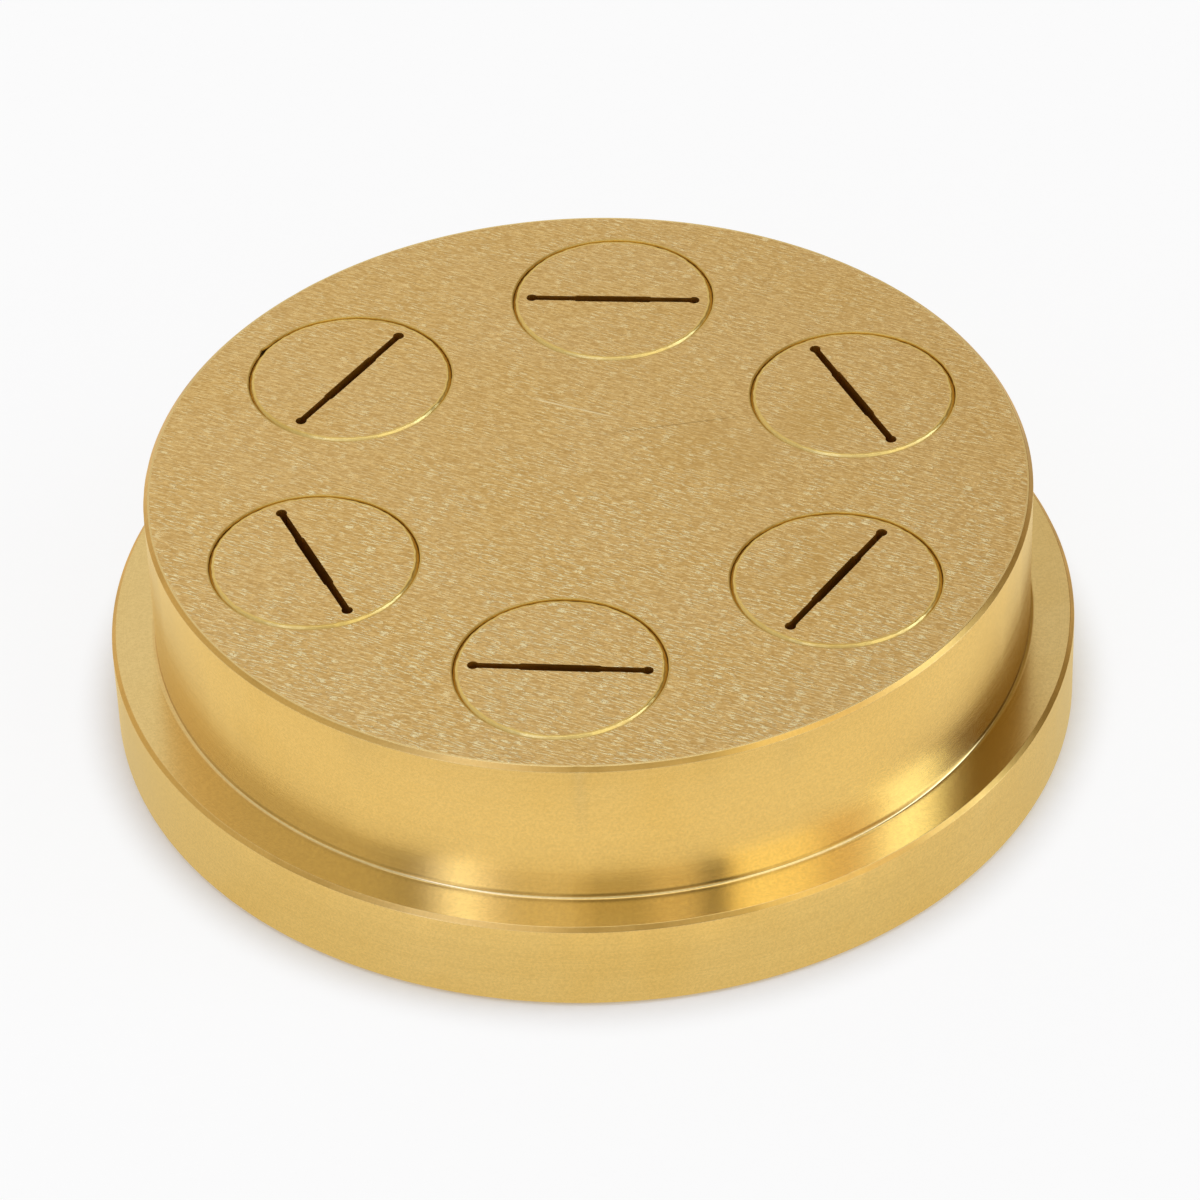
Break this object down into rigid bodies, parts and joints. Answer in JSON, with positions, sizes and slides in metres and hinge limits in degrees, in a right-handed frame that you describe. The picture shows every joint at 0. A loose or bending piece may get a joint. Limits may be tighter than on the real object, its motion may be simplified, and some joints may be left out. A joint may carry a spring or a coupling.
{
  "type": "pasta extrusion die",
  "caption": "Turned brass disc with a flange and a raised face; round slotted inserts set flush in the face shape the dough pressed through from the back.",
  "frame": {"origin": "on the die's axis, in the plane of the back face, where the dough enters", "axes": "+Z along the die's axis from the back face to the slotted face; X and Y across the disc"},
  "size_m": [0.059, 0.059, 0.0159],
  "materials": {
    "body_brass": "fine turned, face sanded",
    "insert_brass": "sanded flush with the face"
  },
  "bodies": {
    "root": {"die_body": "body_brass", "insert_1": "insert_brass", "insert_2": "insert_brass", "insert_3": "insert_brass", "insert_4": "insert_brass", "insert_5": "insert_brass", "insert_6": "insert_brass"}
  },
  "joints": []
}
